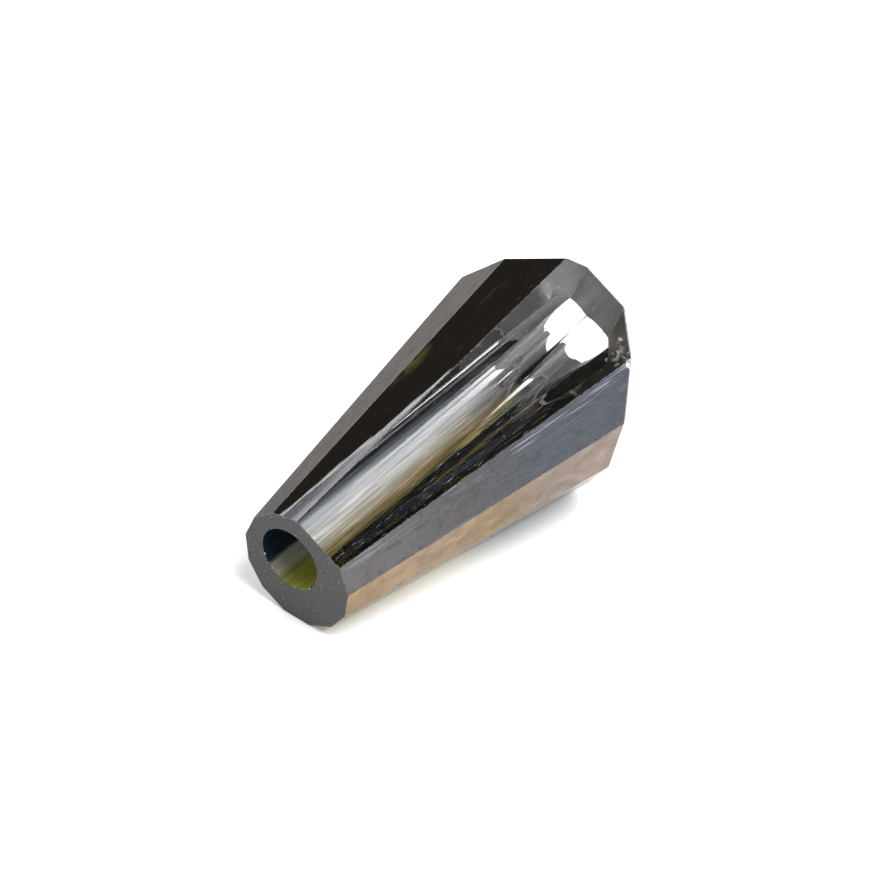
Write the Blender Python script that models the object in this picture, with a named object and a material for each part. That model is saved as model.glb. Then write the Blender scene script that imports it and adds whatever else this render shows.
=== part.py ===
# Cone bead: one piece of cut glass, drilled from end to end. Metres, +Z up.
#
# The bead tapers from a small ground end to a wide end. Twelve flat facets run its whole length:
# eleven of one step of the cutting wheel, and one window facet of two steps. The wide end is cut by
# a square end face and by two bevels that face each other across the bore. It lies as it would on a
# table, on one of its long facets, with its wide end raised by the taper.

import math

import bmesh
import bpy
from mathutils import Matrix, Vector

MM = 0.001

# Body of the bead, measured along its own axis from the small end
LENGTH = 12.0 * MM
SMALL_RADIUS = 1.865 * MM  # to the corners of the small end
WIDE_RADIUS = 3.713 * MM  # to the corners of the uncut cone at the end face
BLANK_EXTRA = 1.0 * MM  # length of blank past the end face, cut away with it

# Long facets: corners of the section, counted in steps round the axis
STEPS = 13
WINDOW_CORNER = 3  # this corner is left out, so the two steps beside it make one window facet
REST_STEP = 8  # the facet that starts at this corner is the one the bead lies on
STEP_ANGLE = 2 * math.pi / STEPS

# Cuts at the wide end. A bevel faces a turn round the axis, drops by its slope for each unit of
# radius, and would meet the axis its rise above the end face.
BEVEL_TURN_STEPS = 6.03  # turn of the steep bevel from corner 0, in steps
END_BEVELS = (
    # half turns on, slope, rise
    (0, 0.770, 0.576 * MM),
    (1, 0.512, 0.407 * MM),
)
RIM_CHAMFER = 0.09 * MM  # narrow flat polished round the rim of the wide end

# Bore: two slightly tapered drillings, one from each end, that run side by side into one another,
# so the mouth at the wide end is oval. Each is given by its centre and radius at two distances.
BORE_SIDES = 32
DRILLINGS = (
    (
        # distance along the axis, offset towards corner 0, offset a quarter turn on, radius
        (0.0, 0.36 * MM, 0.11 * MM, 0.98 * MM),
        (LENGTH, 0.603 * MM, 0.096 * MM, 0.706 * MM),
    ),
    (
        (LENGTH, -0.272 * MM, 0.058 * MM, 0.918 * MM),
        (2.0 * MM, -0.272 * MM, 0.058 * MM, 0.188 * MM),
    ),
)
BORE_RUNOUT = 1.5 * MM  # length of cutter past each end of a drilling

ON_PLANE = 0.0001 * MM  # a corner this near a cut lies on it
SAME_FACING = 0.9999  # cosine between the normals of faces that face the same way

GLASS_COLOUR = (0.105, 0.105, 0.112, 1.0)
GLASS_ROUGHNESS = 0.06
GLASS_METALLIC = 0.35


def clear_scene():
    for obj in list(bpy.data.objects):
        bpy.data.objects.remove(obj, do_unlink=True)


def around(turn):
    """Unit vector square to the axis at a turn from corner 0. The middle of the resting facet is down."""
    down = (REST_STEP + 0.5) * STEP_ANGLE
    return Vector((0.0, math.sin(turn - down), -math.cos(turn - down)))


def radius_at(distance):
    return SMALL_RADIUS + (WIDE_RADIUS - SMALL_RADIUS) * distance / LENGTH


def section(mesh, distance):
    """Ring of corners at a distance along the axis."""
    centre = Vector((distance, 0.0, 0.0))
    ring = []
    for step in range(STEPS):
        if step != WINDOW_CORNER:
            corner = centre + around(step * STEP_ANGLE) * radius_at(distance)
            ring.append(mesh.verts.new(corner))
    return ring


def cut(mesh, point, normal):
    """Takes away what lies on the normal's side of a plane, and closes the face that it leaves."""
    geometry = mesh.verts[:] + mesh.edges[:] + mesh.faces[:]
    found = bmesh.ops.bisect_plane(
        mesh, geom=geometry, dist=ON_PLANE, plane_co=point, plane_no=normal, clear_outer=True
    )
    rim = [item for item in found["geom_cut"] if isinstance(item, bmesh.types.BMEdge)]
    bmesh.ops.contextual_create(mesh, geom=rim)


def wide_end_planes():
    """Point and outward normal of the end face and of each bevel."""
    axis = Vector((1.0, 0.0, 0.0))
    planes = [(axis * LENGTH, axis)]
    for half_turns, slope, rise in END_BEVELS:
        facing = around(BEVEL_TURN_STEPS * STEP_ANGLE + half_turns * math.pi)
        planes.append((axis * (LENGTH + rise), (axis + facing * slope).normalized()))
    return planes


def chamfer_rim(mesh, planes):
    """Breaks the edge where the long facets meet the cuts of the wide end."""
    cuts = [normal for _, normal in planes]

    def is_cut(face):
        return any(face.normal.dot(normal) > SAME_FACING for normal in cuts)

    mesh.normal_update()
    rim = [edge for edge in mesh.edges if sum(is_cut(face) for face in edge.link_faces) == 1]
    bmesh.ops.bevel(
        mesh,
        geom=rim,
        offset=RIM_CHAMFER,
        offset_type="OFFSET",
        segments=1,
        affect="EDGES",
        clamp_overlap=True,
    )


def bore_cutter(name, drilling):
    """Tapered round cutter of one drilling, run out past both of its ends."""
    ends = []
    radii = []
    for distance, to_corner, to_quarter, radius in drilling:
        offset = around(0.0) * to_corner + around(math.pi / 2) * to_quarter
        ends.append(Vector((distance, 0.0, 0.0)) + offset)
        radii.append(radius)
    run = ends[1] - ends[0]
    runout_taper = (radii[1] - radii[0]) * BORE_RUNOUT / run.length
    mesh = bmesh.new()
    bmesh.ops.create_cone(
        mesh,
        cap_ends=True,
        segments=BORE_SIDES,
        radius1=radii[0] - runout_taper,
        radius2=radii[1] + runout_taper,
        depth=run.length + 2 * BORE_RUNOUT,
    )
    turn = run.to_track_quat("Z", "Y").to_matrix().to_4x4()
    mesh.transform(Matrix.Translation((ends[0] + ends[1]) / 2) @ turn)
    return new_object(name, mesh)


def new_object(name, mesh):
    data = bpy.data.meshes.new(name)
    mesh.to_mesh(data)
    mesh.free()
    obj = bpy.data.objects.new(name, data)
    bpy.context.scene.collection.objects.link(obj)
    return obj


def glass_material():
    material = bpy.data.materials.new("coated_glass")
    material.use_nodes = True
    shader = material.node_tree.nodes["Principled BSDF"]
    shader.inputs["Base Color"].default_value = GLASS_COLOUR
    shader.inputs["Roughness"].default_value = GLASS_ROUGHNESS
    shader.inputs["Metallic"].default_value = GLASS_METALLIC
    return material


def laid_down():
    """Turn that brings the resting facet level, by the fall of the facets along the taper."""
    facet_fall = (WIDE_RADIUS - SMALL_RADIUS) / LENGTH * math.cos(STEP_ANGLE / 2)
    return Matrix.Rotation(-math.atan(facet_fall), 4, "Y")


def make_bead():
    mesh = bmesh.new()
    small = section(mesh, 0.0)
    wide = section(mesh, LENGTH + BLANK_EXTRA)
    for i in range(len(small)):
        after = (i + 1) % len(small)
        mesh.faces.new((small[i], small[after], wide[after], wide[i]))
    mesh.faces.new(small)
    mesh.faces.new(wide)
    bmesh.ops.recalc_face_normals(mesh, faces=mesh.faces)
    planes = wide_end_planes()
    for point, normal in planes:
        cut(mesh, point, normal)
    bmesh.ops.recalc_face_normals(mesh, faces=mesh.faces)
    chamfer_rim(mesh, planes)

    # The middle of the footprint goes to the origin
    turned = laid_down()
    placed = [turned @ vert.co for vert in mesh.verts]
    low = Vector(min(co[i] for co in placed) for i in range(3))
    high = Vector(max(co[i] for co in placed) for i in range(3))
    middle = (low + high) / 2
    place = Matrix.Translation((-middle.x, -middle.y, -low.z)) @ turned

    bead = new_object("bead", mesh)
    bead.data.materials.append(glass_material())
    bead.matrix_world = place

    for name, drilling in zip(("bore_from_small_end", "bore_from_wide_end"), DRILLINGS):
        cutter = bore_cutter(name, drilling)
        cutter.hide_render = True
        cutter.display_type = "WIRE"
        cutter.parent = bead
        bore = bead.modifiers.new(name, "BOOLEAN")
        bore.operation = "DIFFERENCE"
        bore.solver = "EXACT"
        bore.object = cutter
    return bead


def main():
    clear_scene()
    make_bead()


main()
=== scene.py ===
"""Cone bead of cut glass, lying on one of its long facets on a plain pale floor.

The glass is clear. Twelve flat facets run its whole length. Eleven carry a thin metallic coat,
which is clear in places. The twelfth, the window, is twice as wide and bare, so the bore and the
far facets show through it by refraction. The wide end is cut by a square end face and two bevels.
The small end is ground matt. The bore is two drillings, one from each end, with chipped rims.
"""

import math
import random

import bmesh
import bpy
from mathutils import Matrix, Vector


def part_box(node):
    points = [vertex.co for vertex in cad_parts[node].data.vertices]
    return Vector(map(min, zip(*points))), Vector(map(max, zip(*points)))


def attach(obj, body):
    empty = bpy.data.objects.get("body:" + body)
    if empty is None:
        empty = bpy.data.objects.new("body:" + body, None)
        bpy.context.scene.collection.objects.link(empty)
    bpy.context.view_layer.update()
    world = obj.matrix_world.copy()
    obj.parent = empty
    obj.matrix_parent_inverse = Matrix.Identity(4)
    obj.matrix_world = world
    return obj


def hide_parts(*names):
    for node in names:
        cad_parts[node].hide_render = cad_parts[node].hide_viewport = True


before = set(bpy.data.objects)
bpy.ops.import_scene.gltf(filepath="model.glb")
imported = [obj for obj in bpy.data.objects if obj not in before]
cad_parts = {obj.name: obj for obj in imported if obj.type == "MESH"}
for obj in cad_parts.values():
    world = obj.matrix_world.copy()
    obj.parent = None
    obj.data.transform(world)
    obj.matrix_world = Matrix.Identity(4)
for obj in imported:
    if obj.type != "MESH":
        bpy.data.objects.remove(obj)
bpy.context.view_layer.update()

bl_info = {
    "name": "Cone bead",
    "version": (1, 0, 0),
    "blender": (4, 5, 0),
    "location": "3D View > Sidebar > Bead",
    "description": "A drilled cone bead of cut and coated glass, and a plain stage to see it on",
    "category": "Object",
}

MM = 0.001

# Section: thirteen steps round the axis. One corner is left out, which makes the window facet.
STEPS = 13
STEP_ANGLE = 2 * math.pi / STEPS
WINDOW_CORNER = 3
AXIS = Vector((1.0, 0.0, 0.0))  # from the small end to the wide end, before the bead is laid down

# Long facets, by the corner that each starts from
DARK_FACET = 1
WINDOW_FACET = 2
REST_FACET = 8  # the bead lies on this one
FACET_FINISHES = {
    0: "coat_warm_grey",
    DARK_FACET: "dark_facet",
    WINDOW_FACET: "window",
    4: "coat_blue_grey",
    5: "coat_copper",
    6: "coat_brown",
    7: "coat_gold",
    REST_FACET: "coat_olive",
    9: "coat_beige",
    10: "coat_navy",
    11: "coat_night",
    12: "coat_silver",
}
FACET_OF = {finish: facet for facet, finish in FACET_FINISHES.items()}
UNPAINTED = "edge_glass"  # the first material slot, which every face has before it is painted

# Wide end: an end face square to the axis, and two bevels that face each other across the bore
BLANK_EXTRA = 1.0 * MM  # glass past the end face, cut away with it
BEVEL_TURN = 6.03 * STEP_ANGLE  # of the first bevel, from corner 0
END_BEVELS = (
    # half turns on from the first, slope, rise of the plane above the end face
    (0, 0.770, 0.576 * MM),
    (1, 0.512, 0.407 * MM),
)
END_FINISHES = ("end_face", "end_steep", "end_shallow")

# Bore: two slightly tapered drillings, one from each end, that run side by side into one another
DRILLINGS = (
    # at two places: share of the length, offset to corner 0, offset a quarter turn on, and radius
    # as a share of the bore's radius at the small end
    ((0.0, 0.36 * MM, 0.11 * MM, 1.0), (1.0, 0.603 * MM, 0.096 * MM, 0.720)),
    ((1.0, -0.272 * MM, 0.058 * MM, 0.937), (0.167, -0.272 * MM, 0.058 * MM, 0.192)),
)
SMALL_MOUTH = (DRILLINGS[0][0],)
WIDE_MOUTH = (DRILLINGS[0][1], DRILLINGS[1][0])
BORE_SIDES = 96
BORE_RUNOUT = 1.5 * MM  # length of cutter past each end of a drilling
WALL_ANGLE = math.radians(4.2)  # flatter edges than this, as on the bore's wall, are shaded round

# Chips: thin shards struck out of the bore's rims and out of one corner of the wide end
CHIP_SEED = 7
RIM_CHIP_ROOTS = (0.25, 1.0)  # range of the square root of a chip's size to the largest
SMALL_END_CHIPS = 0.5  # size of the small end's chips to the wide end's
CORNER_CHIPS = 26
CORNER_CHIP_AT = (10.9 * MM, -1.1 * MM, 3.2 * MM)  # along the axis, and the two offsets from it
CORNER_CHIP_SPREAD = 0.22 * MM
CORNER_CHIP_SIZES = (0.4, 1.5)
CHIP_WIDTHS = (0.35, 0.8)  # to a chip's length
CHIP_DEPTHS = (0.2, 0.6)

ON_PLANE = 1e-7  # a corner this near a cut, in metres, lies on it
SAME_FACING = 0.9995  # cosine between the normals of faces that face the same way
LONG_FACING = (-0.5, 0.0)  # a long facet's normal leans this far along the axis

# Glass and coats
GLASS_IOR = 1.54
DARK_IOR = 1.06  # of the dark facet's part with painted shade, which hardly shines
COATED_LENGTH = 12.0  # millimetres over which a coat's tones run
SPECULAR = 0.5  # specular level of plain glass and of a full coat
CLEAR = 1.0  # white: bare glass, and light that passes in full
BLACK = 0.0

# Dark facet: painted shade for the dark seen through its clear glass, with a faint olive cloud, a
# painted olive reflection as a spot, and a line below which the glass is clear
CLEAR_LINE_START = 0.18  # millimetres from the facet's middle line, at the small end
CLEAR_LINE_SLOPE = 0.13
CLEAR_LINE_RAGGED = 0.25  # millimetres that the line wanders
FAINT_OLIVE = (0.055, 0.042, 0.012)
PAINTED_OLIVE_SPOT = (0.085, 0.070, 0.020)
SPOT_AT = (6.5, 2.3, -0.62)  # millimetres, in the facet's space
SPOT_SQUEEZE = (0.6, 1.0, 2.2)
SPOT_REACH = 0.8

# Painted reflections on the bore's wall, drawn as thin traces: the far coats as the real bead
# mirrors them in many facets. They go by a place across the bore that grows from the blue-grey
# facet's side to the dark facet's.
# Those toward the window run from dark, over yellow lines and cream, to dark.
SIDE_PER_MM = 0.4
SIDE_AT_AXIS = 0.33
SIDE_WANDER = 0.14  # of the painted reflections' edges
PAINTED_WINDOW_REFLECTIONS = (
    (0.04, (0.008, 0.011, 0.020)),
    (0.13, (0.012, 0.016, 0.028)),
    (0.15, (0.55, 0.44, 0.06)),
    (0.17, (0.02, 0.02, 0.02)),
    (0.255, (0.010, 0.012, 0.018)),
    (0.275, (0.60, 0.50, 0.10)),
    (0.295, (0.12, 0.10, 0.05)),
    (0.32, (0.75, 0.62, 0.20)),
    (0.345, (0.38, 0.31, 0.17)),
    (0.37, (0.90, 0.66, 0.34)),
    (0.395, (0.60, 0.52, 0.36)),
    (0.43, (0.95, 0.84, 0.60)),
    (0.48, (0.92, 0.87, 0.76)),
    (0.60, (0.95, 0.94, 0.92)),
    (0.72, (0.78, 0.82, 0.88)),
    (0.82, (0.24, 0.26, 0.31)),
    (0.90, (0.02, 0.025, 0.035)),
)
# How fully the painted reflections on the window's side cover the glass
PAINTED_REFLECTION_COVER = ((0.27, 0.95), (0.46, 0.95), (0.62, 1.0), (0.74, 0.7), (0.84, 0.5), (0.92, 0.6))
# Painted reflections of the far coats on the bore's far side, seen in the small end's mouth
PAINTED_FAR_REFLECTIONS = (
    (0.36, (0.21, 0.21, 0.035)),
    (0.44, (0.19, 0.18, 0.06)),
    (0.48, (0.25, 0.24, 0.18)),
    (0.60, (0.20, 0.20, 0.17)),
    (0.66, (0.010, 0.018, 0.026)),
    (0.85, (0.003, 0.011, 0.022)),
)
# Painted reflections: orange flecks among the traces on the window's side, halfway along
PAINTED_ORANGE_FLECKS = (1.0, 0.64, 0.22)

# Stage. The room is white, with a dark side that the window faces, so the window mirrors little.
FLOOR_SIDES = 96
FLOOR_RADIUS = 600 * MM
FLOOR_DROP = 0.01 * MM  # gap between the bead and the floor
FLOOR_ROUGHNESS = 0.6
DARK_SIDE = Vector((-0.268, -0.460, 0.846))
ROOM_TONES = ((0.5, 1.0), (0.9, 0.02))  # by the cosine of the angle from the dark side's middle
TO_LAMP = Vector((-0.1309, -0.4648, 0.8757))  # square to the bead's axis, so it misses the ends

# Camera, and the middle of the picture
AIM = Vector((1.7837, 1.2036, 1.6097)) * MM
TO_CAMERA = Vector((-0.6668, -0.4530, 0.5917))
CAMERA_RIGHT = Vector((0.6261, -0.7712, 0.1152))
SENSOR_WIDTH = 36.0
CLIP_START = 10 * MM
CLIP_END = 5.0


def distance(name, description, value):
    return bpy.props.FloatProperty(
        name=name, description=description, default=value, unit="LENGTH"
    )


def colour(name, description, value):
    return bpy.props.FloatVectorProperty(
        name=name,
        description=description,
        default=value,
        subtype="COLOR",
        size=3,
        min=0.0,
        max=1.0,
    )


class BeadSizes(bpy.types.PropertyGroup):
    length: distance("Length", "Length along the bore", 12.0 * MM)
    small_radius: distance("Small end", "Radius to the corners of the small end", 1.865 * MM)
    wide_radius: distance("Wide end", "Radius to the corners of the uncut wide end", 3.713 * MM)
    bore_radius: distance("Bore", "Radius of the bore at the small end", 0.98 * MM)
    rim_chamfer: distance(
        "Rim chamfer", "Flat polished round the rim of the wide end", 0.09 * MM
    )
    edge_width: distance("Edge width", "Wear along the edges between facets", 0.022 * MM)
    chips: bpy.props.IntProperty(
        name="Chips",
        description="Chips tried round each circle of the bore's mouths",
        default=34,
        min=0,
    )
    chip_size: distance("Chip size", "Radius of the largest chips of the rims", 0.13 * MM)


class BeadColours(bpy.types.PropertyGroup):
    warm_grey: colour("Warm grey", "Coat on the dark facet's far side", (0.063, 0.051, 0.043))
    # Painted shade: the dark facet's black stands for the dark seen through its clear glass
    painted_dark: colour("Black", "Dark facet beside the window", (0.006, 0.005, 0.004))
    blue_grey: colour("Blue grey", "Coat below the window", (0.086, 0.095, 0.112))
    copper: colour("Copper", "Coat below the blue-grey facet", (0.39, 0.285, 0.198))
    brown: colour("Brown", "Coat below the copper facet", (0.11, 0.065, 0.03))
    gold: colour("Gold", "Coat beside the resting facet", (0.85, 0.75, 0.50))
    olive: colour("Olive", "Coat of the resting facet", (0.50, 0.45, 0.15))
    beige: colour("Beige", "Coat on the resting facet's other side", (0.75, 0.72, 0.62))
    navy: colour("Navy", "Coat of the back near the small end", (0.10, 0.14, 0.20))
    ground: colour("Ground glass", "Matt small end", (0.036, 0.036, 0.035))
    chipped: colour("Chipped glass", "Broken rims of the bore", (0.80, 0.77, 0.70))


class StageLook(bpy.types.PropertyGroup):
    floor_colour: colour("Floor", "Colour of the floor", (0.95, 0.95, 0.95))
    surroundings: bpy.props.FloatProperty(
        name="Surroundings", description="Brightness of the white surroundings", default=1.5
    )
    lamp: bpy.props.FloatProperty(
        name="Lamp", description="Brightness of the soft lamp above the bead", default=3.6
    )
    lamp_spread: bpy.props.FloatProperty(
        name="Lamp spread",
        description="How wide the lamp looks from the bead",
        default=0.6,
        unit="ROTATION",
    )
    camera_distance: distance(
        "Camera distance", "From the camera to the middle of the picture", 170.2 * MM
    )
    lens: bpy.props.FloatProperty(
        name="Lens", description="Focal length of the camera", default=245.45, unit="CAMERA"
    )


def half_width(facet):
    """Half of a long facet's width, in steps."""
    return 1.0 if facet == WINDOW_FACET else 0.5


def facet_turn(facet):
    """Turn of a long facet's middle from corner 0."""
    return (facet + half_width(facet)) * STEP_ANGLE


def around(turn):
    """Unit vector square to the axis at a turn from corner 0. The resting facet's is down."""
    down = facet_turn(REST_FACET)
    return Vector((0.0, math.sin(turn - down), -math.cos(turn - down)))


def taper(sizes):
    """Growth of the radius to the corners with the distance along the axis."""
    return (sizes.wide_radius - sizes.small_radius) / sizes.length


def facet_tilt(sizes, facet):
    """Angle between a long facet and the axis."""
    return math.atan(taper(sizes) * math.cos(half_width(facet) * STEP_ANGLE))


def laid_down(sizes):
    """Rotation that brings the resting facet level."""
    return Matrix.Rotation(-facet_tilt(sizes, REST_FACET), 4, "Y")


def turned_to(direction):
    """Rotation that brings +Z to a direction."""
    return direction.to_track_quat("Z", "Y").to_euler()


def from_axis(along, to_corner, to_quarter):
    """Point by its distance along the axis, and its offsets to corner 0 and a quarter turn on."""
    offset = around(0.0) * to_corner + around(math.pi / 2) * to_quarter
    return Vector((along, 0.0, 0.0)) + offset


def select_only(*objects):
    bpy.ops.object.select_all(action="DESELECT")
    for obj in objects:
        obj.select_set(True)
    bpy.context.view_layer.objects.active = objects[0]


def pick_edges(obj, test):
    """In edit mode, selects the edges that pass a test, and nothing else."""
    bpy.ops.mesh.select_mode(type="EDGE")
    bpy.ops.mesh.select_all(action="DESELECT")
    mesh = bmesh.from_edit_mesh(obj.data)
    mesh.normal_update()
    found = [edge for edge in mesh.edges if test(edge)]
    for edge in found:
        edge.select_set(True)
    mesh.select_flush_mode()
    bmesh.update_edit_mesh(obj.data)


def flatten_picked(width, kind):
    """In edit mode, cuts the selected edges to narrow flats."""
    bpy.ops.mesh.bevel(
        offset=width, offset_type=kind, segments=1, affect="EDGES", clamp_overlap=True
    )


def cut_flat(point, normal):
    """In edit mode, cuts away what lies on the normal's side of a plane and closes the cut."""
    bpy.ops.mesh.select_all(action="SELECT")
    bpy.ops.mesh.bisect(
        plane_co=point, plane_no=normal, use_fill=True, clear_outer=True, threshold=ON_PLANE
    )


def end_planes(sizes):
    """Point and outward normal of the end face and of each bevel."""
    planes = [(AXIS * sizes.length, AXIS)]
    for half_turns, slope, rise in END_BEVELS:
        facing = around(BEVEL_TURN + half_turns * math.pi)
        planes.append((AXIS * (sizes.length + rise), (AXIS + facing * slope).normalized()))
    return planes


def end_test(sizes):
    """Test for the faces that the cuts of the wide end leave."""
    facings = [normal for _, normal in end_planes(sizes)]
    return lambda face: any(face.normal.dot(facing) > SAME_FACING for facing in facings)


def blank(sizes):
    """Thirteen-sided cone, from the small end at the origin to past the end face."""
    depth = sizes.length + BLANK_EXTRA
    first = around(0.0)
    turn = Matrix((first.cross(AXIS), first, AXIS)).transposed()
    bpy.ops.mesh.primitive_cone_add(
        vertices=STEPS,
        radius1=sizes.small_radius,
        radius2=sizes.small_radius + taper(sizes) * depth,
        depth=depth,
        location=(depth / 2, 0.0, 0.0),
        rotation=turn.to_euler(),
    )
    obj = bpy.context.object
    obj.name = obj.data.name = "bead_glass"
    bpy.ops.object.transform_apply(location=True, rotation=True, scale=True)
    return obj


def cut_window(sizes):
    """Cuts off one corner by the plane through its two neighbours at both ends."""
    facing = around(WINDOW_CORNER * STEP_ANGLE)
    near = around((WINDOW_CORNER - 1) * STEP_ANGLE)
    across = around(WINDOW_CORNER * STEP_ANGLE + math.pi / 2)
    normal = across.cross(AXIS + near * taper(sizes))
    normal *= math.copysign(1.0, normal.dot(facing))
    cut_flat(near * sizes.small_radius, normal.normalized())


def chamfer_rim(bead, sizes):
    """In edit mode, breaks the edge where the long facets meet the cuts of the wide end."""
    is_end = end_test(sizes)
    pick_edges(bead, lambda edge: sum(is_end(face) for face in edge.link_faces) == 1)
    flatten_picked(sizes.rim_chamfer, "OFFSET")


def wear_edges(bead, sizes):
    """In edit mode, flattens the edges between facets by a hair."""
    is_end = end_test(sizes)

    def kind(face):
        if is_end(face):
            return "end"
        if LONG_FACING[0] < face.normal.x < LONG_FACING[1]:
            return "long"
        return "small" if face.normal.x < -SAME_FACING else "chamfer"

    def is_worn(edge):
        kinds = {kind(face) for face in edge.link_faces}
        return kinds in ({"long"}, {"end"}, {"small", "long"})

    pick_edges(bead, is_worn)
    flatten_picked(sizes.edge_width, "WIDTH")


def settle(bead, turn):
    """Lays the bead on its facet, and brings its box to the CAD node's. Gives the whole placing."""
    corners = [turn @ vert.co for vert in bead.data.vertices]
    low = Vector(min(co[i] for co in corners) for i in range(3))
    high = Vector(max(co[i] for co in corners) for i in range(3))
    cad_low, cad_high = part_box("bead")
    shift = (cad_low + cad_high) / 2 - (low + high) / 2
    shift.z = cad_low.z - low.z
    place = Matrix.Translation(shift) @ turn
    bead.matrix_world = place
    select_only(bead)
    bpy.ops.object.transform_apply(location=True, rotation=True, scale=True)
    return place


def take_away(bead, cutter, finish, overlapping=False):
    """Cuts a cutter's shape out of the bead and gives the cut a finish. Removes the cutter."""
    cutter.data.materials.clear()
    cutter.data.materials.append(bpy.data.materials[finish])
    select_only(bead)
    cut = bead.modifiers.new(finish, "BOOLEAN")
    cut.operation = "DIFFERENCE"
    cut.solver = "EXACT"
    cut.material_mode = "TRANSFER"
    cut.use_self = overlapping
    cut.object = cutter
    bpy.ops.object.modifier_apply(modifier=cut.name)
    bpy.data.objects.remove(cutter, do_unlink=True)


def drill(bead, sizes, place):
    """Cuts the bore: each drilling is a round cone, run out past both of its ends."""
    for drilling in DRILLINGS:
        (x, corner, quarter, share), (far_x, far_corner, far_quarter, far_share) = drilling
        start = place @ from_axis(x * sizes.length, corner, quarter)
        end = place @ from_axis(far_x * sizes.length, far_corner, far_quarter)
        run = end - start
        more = (far_share - share) * sizes.bore_radius * BORE_RUNOUT / run.length
        bpy.ops.object.select_all(action="DESELECT")
        bpy.ops.mesh.primitive_cone_add(
            vertices=BORE_SIDES,
            radius1=share * sizes.bore_radius - more,
            radius2=far_share * sizes.bore_radius + more,
            depth=run.length + 2 * BORE_RUNOUT,
            location=(start + end) / 2,
            rotation=turned_to(run),
        )
        take_away(bead, bpy.context.object, "bore_wall")


def on_planes(planes, to_corner, to_quarter):
    """Point at two offsets from the axis, on the first of some planes along it."""
    off = from_axis(0.0, to_corner, to_quarter)
    reach = [point.x - normal.dot(off) / normal.x for point, normal in planes]
    return from_axis(min(reach), to_corner, to_quarter)


def rim_chips(sizes, dice, mouth, planes, largest):
    """Places and sizes of the chips round a mouth. None lies inside another of its circles."""
    spots = []
    for circle in mouth:
        others = [other for other in mouth if other is not circle]
        for _ in range(sizes.chips):
            turn = dice.uniform(0.0, 2 * math.pi)
            radius = circle[3] * sizes.bore_radius
            corner = circle[1] + radius * math.cos(turn)
            quarter = circle[2] + radius * math.sin(turn)
            size = largest * dice.uniform(*RIM_CHIP_ROOTS) ** 2
            inside = any(
                math.hypot(corner - other[1], quarter - other[2]) < other[3] * sizes.bore_radius
                for other in others
            )
            if not inside:
                spots.append((on_planes(planes, corner, quarter), size))
    return spots


def corner_chips(sizes, dice):
    """Places and sizes of the chips at one corner of the wide end."""
    spots = []
    for _ in range(CORNER_CHIPS):
        offset = Vector([dice.gauss(0.0, CORNER_CHIP_SPREAD) for _ in range(3)])
        size = sizes.chip_size * dice.uniform(*CORNER_CHIP_SIZES)
        spots.append((from_axis(*CORNER_CHIP_AT) + offset, size))
    return spots


def chip(bead, sizes, place):
    """Breaks small chips out of the bore's rims and out of one corner of the wide end."""
    dice = random.Random(CHIP_SEED)
    small_end = [(Vector((0.0, 0.0, 0.0)), AXIS)]
    spots = rim_chips(sizes, dice, SMALL_MOUTH, small_end, sizes.chip_size * SMALL_END_CHIPS)
    spots += rim_chips(sizes, dice, WIDE_MOUTH, end_planes(sizes), sizes.chip_size)
    spots += corner_chips(sizes, dice)
    chips = []
    for spot, size in spots:
        bpy.ops.object.select_all(action="DESELECT")
        bpy.ops.mesh.primitive_ico_sphere_add(
            subdivisions=1,
            radius=size,
            location=place @ spot,
            rotation=[dice.uniform(0.0, math.pi) for _ in range(3)],
            scale=(1.0, dice.uniform(*CHIP_WIDTHS), dice.uniform(*CHIP_DEPTHS)),
        )
        chips.append(bpy.context.object)
    select_only(*chips)
    bpy.ops.object.join()
    take_away(bead, bpy.context.object, "chip_glass", overlapping=True)


def paint_facets(bead, sizes, place):
    """Gives every face its finish by the way it faces, in the bead's own frame."""
    facings = [(-AXIS, "ground_end")]
    facings += [(normal, name) for (_, normal), name in zip(end_planes(sizes), END_FINISHES)]
    for facet, name in FACET_FINISHES.items():
        tilt = facet_tilt(sizes, facet)
        out = around(facet_turn(facet)) * math.cos(tilt) - AXIS * math.sin(tilt)
        facings.append((out, name))
    slots = {slot.name: i for i, slot in enumerate(bead.data.materials)}
    cut_out = (slots["bore_wall"], slots["chip_glass"])
    back = place.to_3x3().inverted()
    for face in bead.data.polygons:
        if face.material_index not in cut_out:
            normal = back @ face.normal
            names = [name for facing, name in facings if normal.dot(facing) > SAME_FACING]
            face.material_index = slots[names[0] if names else UNPAINTED]


def rgba(tone):
    """Four channels of a grey or a colour."""
    return (tone, tone, tone, 1.0) if isinstance(tone, float) else (*tone, 1.0)


def shaded(tone, factor):
    return tuple(min(channel * factor, 1.0) for channel in tone)


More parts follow.
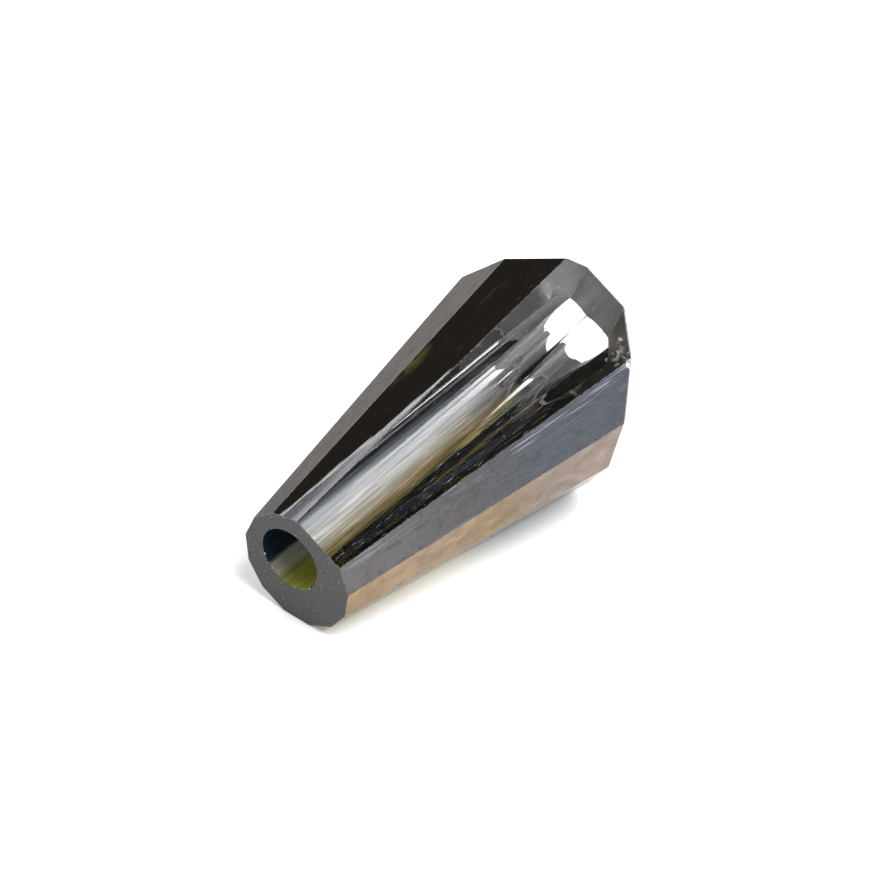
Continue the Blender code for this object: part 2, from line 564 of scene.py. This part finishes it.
class Nodes:
    """A node tree, with short ways to add and join its nodes."""

    def __init__(self, tree):
        self.tree = tree

    def feed(self, socket, value):
        if isinstance(value, bpy.types.NodeSocket):
            self.tree.links.new(value, socket)
        else:
            socket.default_value = value

    def node(self, kind, settings=None, **inputs):
        """Adds a node. An input is a value, or another node's output to join to it."""
        node = self.tree.nodes.new("ShaderNode" + kind)
        for name, value in (settings or {}).items():
            setattr(node, name, value)
        for name, value in inputs.items():
            self.feed(node.inputs[name.replace("_", " ")], value)
        return node

    def pair(self, kind, operation, first, second):
        """Adds a node that works on two inputs."""
        node = self.node(kind, {"operation": operation})
        self.feed(node.inputs[0], first)
        self.feed(node.inputs[1], second)
        return node.outputs

    def math(self, operation, first, second):
        return self.pair("Math", operation, first, second)[0]

    def plus(self, first, second):
        return self.math("ADD", first, second)

    def minus(self, first, second):
        return self.math("SUBTRACT", first, second)

    def times(self, first, second):
        return self.math("MULTIPLY", first, second)

    def scaled(self, value, factor, offset):
        return self.plus(self.times(value, factor), offset)

    def stretched(self, vector, factors):
        return self.pair("VectorMath", "MULTIPLY", vector, factors)["Vector"]

    def parts(self, vector):
        return self.node("SeparateXYZ", Vector=vector).outputs

    def noise(self, vector, scale, detail=3.0, distortion=0.0, stretch=None):
        if stretch:
            vector = self.stretched(vector, stretch)
        node = self.node(
            "TexNoise", Vector=vector, Scale=scale, Detail=detail, Distortion=distortion
        )
        return node.outputs[0]

    def ramp(self, value, *stops):
        """Greys or colours along a value. Each stop is a place and its grey or colour."""
        node = self.node("ValToRGB", Fac=value)
        elements = node.color_ramp.elements
        elements.remove(elements[1])
        for i, (place, tone) in enumerate(stops):
            element = elements[0] if i == 0 else elements.new(place)
            element.position = place
            element.color = rgba(tone)
        return node.outputs["Color"]

    def blend(self, share, below, above, mode="MIX"):
        """Blends two greys or colours, each a value or another node's output."""
        node = self.node("Mix", {"data_type": "RGBA", "blend_type": mode})
        sockets = {socket.identifier: socket for socket in node.inputs}
        self.feed(sockets["Factor_Float"], share)
        for name, tone in (("A_Color", below), ("B_Color", above)):
            self.feed(sockets[name], tone if isinstance(tone, bpy.types.NodeSocket) else rgba(tone))
        return next(socket for socket in node.outputs if socket.identifier == "Result_Color")

    def darken(self, base, by):
        return self.blend(1.0, base, by, "MULTIPLY")


class Finish(Nodes):
    """A material, with the spaces that its nodes are laid out in."""

    def __init__(self, name):
        self.material = bpy.data.materials.new(name)
        self.material.use_nodes = True
        super().__init__(self.material.node_tree)
        self.shader = self.tree.nodes["Principled BSDF"]

    def set(self, **values):
        """Sets inputs of the shader to values or to other nodes' outputs."""
        for name, value in values.items():
            self.feed(self.shader.inputs[name.replace("_", " ")], value)

    def bump(self, height, strength, reach):
        node = self.node("Bump", Height=height, Strength=strength, Distance=reach)
        self.set(Normal=node.outputs["Normal"])

    def space(self, place, turn=0.0):
        """Millimetres along the axis, from it towards a turn, and towards a quarter turn on."""
        rows = Matrix((AXIS, around(turn), around(turn + math.pi / 2)))
        turned = rows @ place.to_3x3().transposed()
        moved = self.node(
            "Mapping",
            Vector=self.node("TexCoord").outputs["Object"],
            Location=-(turned @ place.translation) / MM,
            Rotation=turned.to_euler(),
            Scale=(1.0 / MM,) * 3,
        )
        return moved.outputs["Vector"]

    def facet_space(self, place, facet):
        """Millimetres along a long facet from the small end, out of it, and across its middle."""
        return self.space(place, facet_turn(facet))


def coat(
    name,
    place,
    tones,
    light,
    stain,
    mottle=0.2,
    stained=0.4,
    streaked=0.55,
    streak_side=0.3,
    clear=None,
    edge=1.0,
    metal=1.0,
):
    """Half-metallic coat of a long facet: tones along it, mottling, stains, streaks and specks.

    Tones, and how clear the coat is, are given at shares of the bead's length from the small end.
    Light is the colour of the streaks and specks, and stain that of the stains. Mottle, stained
    and streaked are strengths. The streaks gather on one side of the facet's middle line, which
    the sign of streak_side says. Edge is the brightness of the coat at a slant. Metal is how
    metallic it is, where no clear part is given.
    """
    finish = Finish(name)
    where = finish.facet_space(place, FACET_OF[name])
    along, _, across = finish.parts(where)
    share = finish.math("DIVIDE", along, COATED_LENGTH)
    clouds = finish.noise(where, scale=1.3, detail=6.0, distortion=0.6, stretch=(0.7, 1.0, 1.2))
    grain = finish.noise(where, scale=11.0, detail=4.0)
    spots = finish.noise(where, scale=2.1, detail=8.0, distortion=1.2, stretch=(0.8, 1.0, 1.3))
    stains = finish.ramp(spots, (0.54, 0.0), (0.66, stained))
    lines = finish.noise(where, scale=1.6, stretch=(0.35, 1.0, 9.0))
    beside = finish.ramp(finish.times(across, streak_side), (0.1, 0.1), (0.6, 1.0))
    streaks = finish.times(finish.ramp(lines, (0.54, 0.0), (0.66, streaked)), beside)
    specks = finish.ramp(finish.noise(where, scale=24.0, detail=2.0), (0.67, 0.0), (0.76, 0.12))

    base = finish.ramp(share, *tones)
    base = finish.darken(base, finish.ramp(clouds, (0.35, 1.0 - mottle), (0.65, 1.0)))
    base = finish.darken(base, finish.ramp(grain, (0.3, 0.84), (0.62, 1.0)))
    base = finish.blend(stains, base, stain)
    base = finish.blend(streaks, base, light)
    base = finish.blend(specks, base, light)
    rough = finish.ramp(clouds, (0.3, 0.09), (0.7, 0.2))
    rough = finish.blend(1.0, rough, finish.ramp(stains, (0.0, 0.0), (1.0, 0.15)), "ADD")
    if clear is None:
        finish.set(Metallic=metal, Specular_IOR_Level=SPECULAR * metal)
    else:
        through = finish.ramp(share, *clear)
        bare = finish.ramp(through, (0.6, 0.0), (1.0, 1.0))
        base = finish.blend(bare, base, CLEAR)
        rough = finish.blend(bare, rough, BLACK)
        finish.set(Transmission_Weight=through, IOR=GLASS_IOR)
        finish.set(Metallic=finish.minus(1.0, through))
    finish.set(Base_Color=base, Roughness=rough, Specular_Tint=rgba(edge))
    finish.bump(finish.plus(grain, spots), strength=0.06, reach=0.01 * MM)


def seen_coats(colours, place):
    """Coats of the long facets that face up and to the front."""
    warm = colours.warm_grey
    coat(
        "coat_warm_grey",
        place,
        tones=[
            (at, shaded(warm, factor))
            for at, factor in ((0.02, 0.88), (0.3, 1.05), (0.5, 1.3), (0.75, 1.0), (0.95, 1.35))
        ],
        light=shaded(warm, 2.4),
        stain=shaded(warm, 0.5),
        mottle=0.6,
        stained=0.8,
        streak_side=0.2,
        edge=0.61,
    )
    blue = colours.blue_grey
    purple = (blue[0] * 1.22, blue[1] * 1.04, blue[2] * 0.92)
    coat(
        "coat_blue_grey",
        place,
        tones=((0.0, shaded(purple, 1.3)), (0.35, purple), (0.62, blue), (1.0, shaded(blue, 0.95))),
        light=(0.34, 0.37, 0.42),
        stain=shaded(purple, 0.62),
        mottle=0.14,
        stained=0.45,
        streaked=0.6,
        streak_side=-1.1,
    )
    copper = colours.copper
    golden = (copper[0], copper[1] * 0.98, copper[2] * 0.78)
    pinkish = (copper[0] * 0.83, copper[1] * 0.90, copper[2] * 1.08)
    coat(
        "coat_copper",
        place,
        tones=(
            (0.0, golden),
            (0.3, copper),
            (0.45, shaded(golden, 0.96)),
            (0.6, pinkish),
            (0.95, shaded(pinkish, 0.98)),
        ),
        light=(0.62, 0.52, 0.40),
        stain=(0.24, 0.165, 0.115),
        mottle=0.38,
        stained=0.55,
        edge=0.8,
    )
    brown = colours.brown
    coat(
        "coat_brown",
        place,
        tones=(
            (0.0, brown),
            (0.5, shaded(brown, 0.75)),
            (0.85, shaded(brown, 0.7)),
            (0.98, shaded(brown, 1.5)),
        ),
        light=(0.2, 0.15, 0.1),
        stain=(0.06, 0.035, 0.02),
        mottle=0.3,
        stained=0.6,
        metal=0.1,
    )


def far_coats(colours, place):
    """Coats of the resting facet and of the long facets behind it.

    The gold, olive and beige coats turn dark navy towards the wide end. This is painted shade: it
    stands for the dark that the window shows there by total internal reflection. The olive coat's
    bright streaks are a painted reflection, seen through the window.
    """
    gold, olive, beige, navy = colours.gold, colours.olive, colours.beige, colours.navy
    # Gold coat: painted shade, a dark navy, from 0.6 of the length on
    coat(
        "coat_gold",
        place,
        tones=((0.0, shaded(gold, 0.6)), (0.4, gold), (0.6, shaded(navy, 0.5))),
        light=shaded(gold, 1.2),
        stain=shaded(gold, 0.4),
        edge=0.2,
    )
    # Olive coat: painted shade, a dark navy, from 0.26 of the length on; its bright streaks are a
    # painted reflection
    coat(
        "coat_olive",
        place,
        tones=((0.12, olive), (0.26, shaded(navy, 0.2))),
        light=(0.62, 0.54, 0.08),
        stain=shaded(olive, 0.3),
        streaked=1.0,
        streak_side=1.0,
        edge=0.05,
    )
    # Beige coat: painted shade, a dark navy, from 0.26 of the length on
    coat(
        "coat_beige",
        place,
        tones=((0.12, beige), (0.26, shaded(navy, 0.4))),
        light=shaded(beige, 1.3),
        stain=shaded(beige, 0.4),
        edge=0.05,
    )
    for name in ("coat_navy", "coat_night"):
        coat(
            name,
            place,
            tones=((0.0, shaded(navy, 0.7)), (0.2, navy), (0.6, (0.4, 0.42, 0.43))),
            light=(0.5, 0.52, 0.45),
            stain=shaded(navy, 0.4),
            clear=((0.12, 0.0), (0.20, 0.95)),
        )
    coat(
        "coat_silver",
        place,
        tones=((0.0, (0.36, 0.37, 0.38)), (1.0, (0.5, 0.5, 0.5))),
        light=(0.8, 0.8, 0.8),
        stain=(0.2, 0.2, 0.2),
        clear=((0.3, 0.8), (0.6, 0.3)),
    )


def dark_facet(colours, place):
    """Facet beside the window: painted shade at the wide end, and clear below a line that runs down
    it.

    The painted shade stands for the dark seen through the clear glass. The olive spot on it is a
    painted reflection of the far facets.
    """
    finish = Finish("dark_facet")
    where = finish.facet_space(place, DARK_FACET)
    along, _, across = finish.parts(where)
    above = finish.plus(across, CLEAR_LINE_START)
    above = finish.minus(above, finish.times(along, CLEAR_LINE_SLOPE))
    lines = finish.noise(where, scale=1.5, stretch=(0.3, 1.0, 6.0))
    ragged = finish.plus(above, finish.times(lines, CLEAR_LINE_RAGGED))
    clear = finish.ramp(ragged, (0.10, 0.0), (0.22, 1.0))
    clouds = finish.noise(where, scale=1.6, detail=5.0, distortion=0.5, stretch=(0.5, 1.0, 1.5))
    faint = finish.ramp(clouds, (0.60, 0.0), (0.74, 0.3))
    # Painted shade, with a faint olive cloud in it
    dark = finish.blend(faint, colours.painted_dark, FAINT_OLIVE)

    # Painted reflection of the far facets: the olive spot
    squeezed = finish.stretched(where, SPOT_SQUEEZE)
    middle = [at * squeeze for at, squeeze in zip(SPOT_AT, SPOT_SQUEEZE)]
    away = finish.pair("VectorMath", "DISTANCE", squeezed, middle)["Value"]
    spot = finish.ramp(finish.math("DIVIDE", away, SPOT_REACH), (0.2, 1.0), (1.0, 0.0))
    spot = finish.times(spot, finish.ramp(clouds, (0.46, 0.0), (0.58, 1.0)))
    dark = finish.blend(spot, dark, PAINTED_OLIVE_SPOT)

    base = finish.blend(clear, dark, CLEAR)
    scratch = finish.noise(where, scale=2.2, detail=5.0, distortion=0.2, stretch=(0.9, 1.0, 14.0))
    beside = finish.ramp(across, (0.1, 0.15), (0.6, 1.0))
    scratched = finish.times(finish.ramp(scratch, (0.65, 0.0), (0.72, 0.08)), beside)
    base = finish.blend(scratched, base, (0.32, 0.33, 0.32))
    through = finish.blend(scratched, clear, BLACK)
    index = finish.scaled(clear, GLASS_IOR - DARK_IOR, DARK_IOR)
    rough = finish.ramp(scratch, (0.6, 0.02), (0.75, 0.3))
    finish.set(Base_Color=base, Roughness=rough, IOR=index, Transmission_Weight=through)


def window(place):
    """Bare polished facet, with a few fine scratches and specks on it."""
    finish = Finish("window")
    where = finish.facet_space(place, WINDOW_FACET)
    scratch = finish.noise(where, scale=2.0, detail=6.0, distortion=0.15, stretch=(1.1, 1.0, 16.0))
    dust = finish.noise(where, scale=26.0, detail=2.0)
    scratches = finish.ramp(scratch, (0.65, 0.0), (0.72, 0.16))
    specks = finish.ramp(dust, (0.70, 0.0), (0.76, 0.25))
    marks = finish.blend(1.0, scratches, specks, "ADD")
    finish.set(Base_Color=finish.blend(marks, CLEAR, (0.62, 0.63, 0.62)), IOR=GLASS_IOR)
    finish.set(Transmission_Weight=finish.blend(marks, CLEAR, BLACK))
    finish.set(Roughness=finish.ramp(marks, (0.0, 0.0), (0.3, 0.4)))


def bore_wall(place):
    """Drilled wall: clear, with fine lengthwise lines and painted reflections drawn as thin traces.

    The traces are painted reflections of the far coats, which the real bead mirrors in many facets.
    The traces toward the window run along most of the bore. Those on the far side show in the
    small end's mouth and end soon after it. A trace has its full colour wherever it hides any of
    the glass.
    """
    finish = Finish("bore_wall")
    where = finish.space(place)
    along, to_corner, to_quarter = finish.parts(where)
    share = finish.math("DIVIDE", along, COATED_LENGTH)
    lines = finish.noise(where, scale=2.4, detail=4.0, stretch=(0.12, 7.0, 7.0))
    streaks = finish.noise(where, scale=1.5, stretch=(0.10, 6.0, 6.0))
    threads = finish.noise(where, scale=1.7, detail=4.0, stretch=(0.07, 9.0, 9.0))
    hairs = finish.noise(where, scale=2.0, stretch=(0.06, 15.0, 15.0))
    side = finish.scaled(to_corner, SIDE_PER_MM, SIDE_AT_AXIS)
    side = finish.plus(side, finish.times(streaks, SIDE_WANDER))

    # Painted reflections of the far coats on the window's side, with orange flecks among them
    tint = finish.ramp(side, *PAINTED_WINDOW_REFLECTIONS)
    tint = finish.darken(tint, finish.ramp(hairs, (0.40, 0.74), (0.56, 1.0)))
    halfway = finish.ramp(share, (0.36, 0.0), (0.46, 1.0), (0.62, 0.0))
    warm_side = finish.ramp(side, (0.28, 0.0), (0.34, 1.0), (0.50, 1.0), (0.56, 0.0))
    flecks = finish.ramp(threads, (0.54, 0.0), (0.60, 0.9))
    flecks = finish.times(flecks, finish.times(halfway, warm_side))
    tint = finish.blend(flecks, tint, PAINTED_ORANGE_FLECKS)
    broken_up = finish.ramp(threads, (0.44, 1.0), (0.60, 0.6))
    cover = finish.times(finish.ramp(side, *PAINTED_REFLECTION_COVER), broken_up)
    toward_window = finish.ramp(to_quarter, (0.05, 0.0), (0.35, 1.0))
    fade = finish.ramp(share, (0.0, 0.95), (0.4, 1.0), (0.55, 0.8), (0.75, 0.0))
    painted_reflection = finish.times(cover, finish.times(toward_window, fade))

    # Painted reflections of the far coats on the far side, seen in the small end's mouth
    away = finish.ramp(finish.times(to_quarter, -1.0), (0.0, 0.0), (0.10, 0.9))
    mouth = finish.times(away, finish.ramp(share, (0.16, 1.0), (0.32, 0.0)))
    mouth = finish.times(mouth, finish.ramp(threads, (0.44, 1.0), (0.60, 0.7)))

    coloured = ((0.0, 0.0), (0.25, 1.0))
    base = finish.blend(finish.ramp(painted_reflection, *coloured), CLEAR, tint)
    base = finish.blend(finish.ramp(mouth, *coloured), base, finish.ramp(side, *PAINTED_FAR_REFLECTIONS))
    opaque = finish.math("MAXIMUM", painted_reflection, mouth)
    finish.set(Base_Color=base, IOR=GLASS_IOR, Transmission_Weight=finish.minus(1.0, opaque))
    finish.set(Roughness=finish.times(opaque, 0.3))
    finish.set(Specular_IOR_Level=finish.minus(SPECULAR, finish.times(mouth, SPECULAR)))
    smoother = finish.ramp(share, (0.6, 1.0), (0.8, 0.2))
    finish.bump(finish.times(lines, smoother), strength=0.04, reach=0.02 * MM)


def satin(name, place, tone, metal, mottle):
    """Cut of the wide end: satin glass that gives a smooth tone when seen through the bead."""
    finish = Finish(name)
    where = finish.space(place)
    clouds = finish.noise(where, scale=1.4, detail=5.0, distortion=0.5)
    grain = finish.noise(where, scale=16.0)
    base = finish.darken(tone, finish.ramp(clouds, (0.36, mottle), (0.64, 1.0)))
    base = finish.blend(finish.ramp(grain, (0.66, 0.0), (0.74, 0.25)), base, (0.5, 0.49, 0.47))
    finish.set(Base_Color=base, IOR=GLASS_IOR, Transmission_Weight=1.0 - metal, Metallic=metal)
    finish.set(Roughness=finish.ramp(clouds, (0.3, 0.44), (0.7, 0.54)))


def ground_end(colours, place):
    """Matt ground small end: fine pits and pale specks, a little lighter towards the window."""
    finish = Finish("ground_end")
    where = finish.space(place)
    to_quarter = finish.parts(where)[2]
    side = finish.scaled(to_quarter, factor=0.2, offset=0.5)
    clouds = finish.noise(where, scale=2.2, detail=6.0, distortion=0.4)
    pits = finish.noise(where, scale=18.0, detail=5.0)
    dust = finish.noise(where, scale=9.0, detail=6.0)
    base = finish.darken(colours.ground, finish.ramp(clouds, (0.32, 0.55), (0.66, 1.0)))
    base = finish.darken(base, finish.ramp(side, (0.2, 0.75), (0.8, 1.0)))
    base = finish.blend(finish.ramp(pits, (0.52, 0.0), (0.66, 0.22)), base, (0.17, 0.17, 0.16))
    base = finish.blend(finish.ramp(dust, (0.63, 0.0), (0.70, 0.3)), base, (0.28, 0.275, 0.26))
    rough = finish.ramp(clouds, (0.3, 0.6), (0.7, 0.78))
    finish.set(Base_Color=base, Roughness=rough, IOR=GLASS_IOR)
    finish.bump(pits, strength=0.5, reach=0.02 * MM)


def broken(name, place, tone, through, rough):
    """Chipped or worn glass."""
    finish = Finish(name)
    where = finish.space(place)
    grain = finish.noise(where, scale=9.0, detail=5.0)
    base = finish.darken(tone, finish.ramp(grain, (0.38, 0.15), (0.60, 1.0)))
    finish.set(Base_Color=base, IOR=GLASS_IOR, Transmission_Weight=through)
    finish.set(Roughness=finish.ramp(grain, (0.3, rough), (0.7, rough + 0.2)))
    finish.bump(grain, strength=0.3, reach=0.02 * MM)


def make_finishes(colours, place):
    """Makes every material of the bead, in the frame that it is placed in. Gives their names."""
    known = set(bpy.data.materials)
    seen_coats(colours, place)
    far_coats(colours, place)
    dark_facet(colours, place)
    window(place)
    bore_wall(place)
    satin("end_face", place, (0.10, 0.096, 0.09), metal=0.35, mottle=0.6)
    satin("end_steep", place, (0.105, 0.078, 0.045), metal=1.0, mottle=0.5)
    satin("end_shallow", place, (0.028, 0.026, 0.024), metal=0.0, mottle=0.6)
    ground_end(colours, place)
    broken("chip_glass", place, colours.chipped, through=0.25, rough=0.25)
    broken("edge_glass", place, (0.13, 0.125, 0.12), through=0.3, rough=0.2)
    made = [material.name for material in bpy.data.materials if material not in known]
    return sorted(made, key=lambda name: name != UNPAINTED)


class BEAD_OT_glass(bpy.types.Operator):
    """Cut the glass, with its bore, its worn edges and its chips, and give every face its finish"""

    bl_idname = "bead.glass"
    bl_label = "Cut the glass"

    def execute(self, context):
        sizes = context.scene.bead_sizes
        bpy.ops.object.select_all(action="DESELECT")
        bead = blank(sizes)
        bpy.ops.object.mode_set(mode="EDIT")
        cut_window(sizes)
        for point, normal in end_planes(sizes):
            cut_flat(point, normal)
        bpy.ops.mesh.select_all(action="SELECT")
        bpy.ops.mesh.remove_doubles(threshold=ON_PLANE)
        chamfer_rim(bead, sizes)
        wear_edges(bead, sizes)
        bpy.ops.object.mode_set(mode="OBJECT")
        place = settle(bead, laid_down(sizes))
        for name in make_finishes(context.scene.bead_colours, place):
            bead.data.materials.append(bpy.data.materials[name])
        drill(bead, sizes, place)
        chip(bead, sizes, place)
        paint_facets(bead, sizes, place)
        select_only(bead)
        bpy.ops.object.shade_smooth_by_angle(angle=WALL_ANGLE)
        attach(bead, "root")
        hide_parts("bead")
        return {"FINISHED"}


def set_room(scene, look):
    """White surroundings with a dark side."""
    world = bpy.data.worlds.new("surroundings")
    scene.world = world
    world.use_nodes = True
    nodes = Nodes(world.node_tree)
    way = nodes.node("TexCoord").outputs["Generated"]
    toward = nodes.pair("VectorMath", "DOT_PRODUCT", way, DARK_SIDE)["Value"]
    sky = nodes.tree.nodes["Background"]
    nodes.feed(sky.inputs["Color"], nodes.ramp(toward, *ROOM_TONES))
    sky.inputs["Strength"].default_value = look.surroundings


def place_camera(scene, look):
    bpy.ops.object.camera_add()
    camera = bpy.context.object
    camera.name = "camera"
    back = TO_CAMERA.normalized()
    right = (CAMERA_RIGHT - back * CAMERA_RIGHT.dot(back)).normalized()
    axes = Matrix((right, back.cross(right), back)).transposed()
    camera.matrix_world = Matrix.Translation(AIM + back * look.camera_distance) @ axes.to_4x4()
    camera.data.sensor_width = SENSOR_WIDTH
    camera.data.lens = look.lens
    camera.data.clip_start = CLIP_START
    camera.data.clip_end = CLIP_END
    scene.camera = camera


class BEAD_OT_stage(bpy.types.Operator):
    """Set the stage: floor, surroundings, soft lamp and camera"""

    bl_idname = "bead.stage"
    bl_label = "Set the stage"

    def execute(self, context):
        scene = context.scene
        look = scene.bead_stage
        bpy.ops.object.select_all(action="DESELECT")
        bpy.ops.mesh.primitive_circle_add(
            vertices=FLOOR_SIDES,
            radius=FLOOR_RADIUS,
            fill_type="NGON",
            location=(0.0, 0.0, -FLOOR_DROP),
        )
        floor = bpy.context.object
        floor.name = floor.data.name = "floor"
        bpy.ops.object.transform_apply(location=True, rotation=True, scale=True)
        paint = Finish("pale_floor")
        paint.set(Base_Color=rgba(look.floor_colour), Roughness=FLOOR_ROUGHNESS)
        floor.data.materials.append(paint.material)

        set_room(scene, look)
        bpy.ops.object.light_add(type="SUN", rotation=turned_to(TO_LAMP))
        lamp = bpy.context.object
        lamp.name = lamp.data.name = "soft_lamp"
        lamp.data.energy = look.lamp
        lamp.data.angle = look.lamp_spread
        place_camera(scene, look)
        scene.view_settings.view_transform = "Standard"
        return {"FINISHED"}


class BEAD_PT_panel(bpy.types.Panel):
    """Cone bead"""

    bl_idname = "BEAD_PT_panel"
    bl_label = "Cone bead"
    bl_space_type = "VIEW_3D"
    bl_region_type = "UI"
    bl_category = "Bead"

    def draw(self, context):
        scene = context.scene
        for group in (scene.bead_sizes, scene.bead_colours, scene.bead_stage):
            for name in group.__annotations__:
                self.layout.prop(group, name)
        self.layout.operator("bead.glass")
        self.layout.operator("bead.stage")


CLASSES = (BeadSizes, BeadColours, StageLook, BEAD_OT_glass, BEAD_OT_stage, BEAD_PT_panel)


def register():
    for cls in CLASSES:
        bpy.utils.register_class(cls)
    bpy.types.Scene.bead_sizes = bpy.props.PointerProperty(type=BeadSizes)
    bpy.types.Scene.bead_colours = bpy.props.PointerProperty(type=BeadColours)
    bpy.types.Scene.bead_stage = bpy.props.PointerProperty(type=StageLook)


def unregister():
    del bpy.types.Scene.bead_stage
    del bpy.types.Scene.bead_colours
    del bpy.types.Scene.bead_sizes
    for cls in reversed(CLASSES):
        bpy.utils.unregister_class(cls)


def main():
    register()
    bpy.ops.bead.glass()
    bpy.ops.bead.stage()


if __name__ == "__main__":
    main()
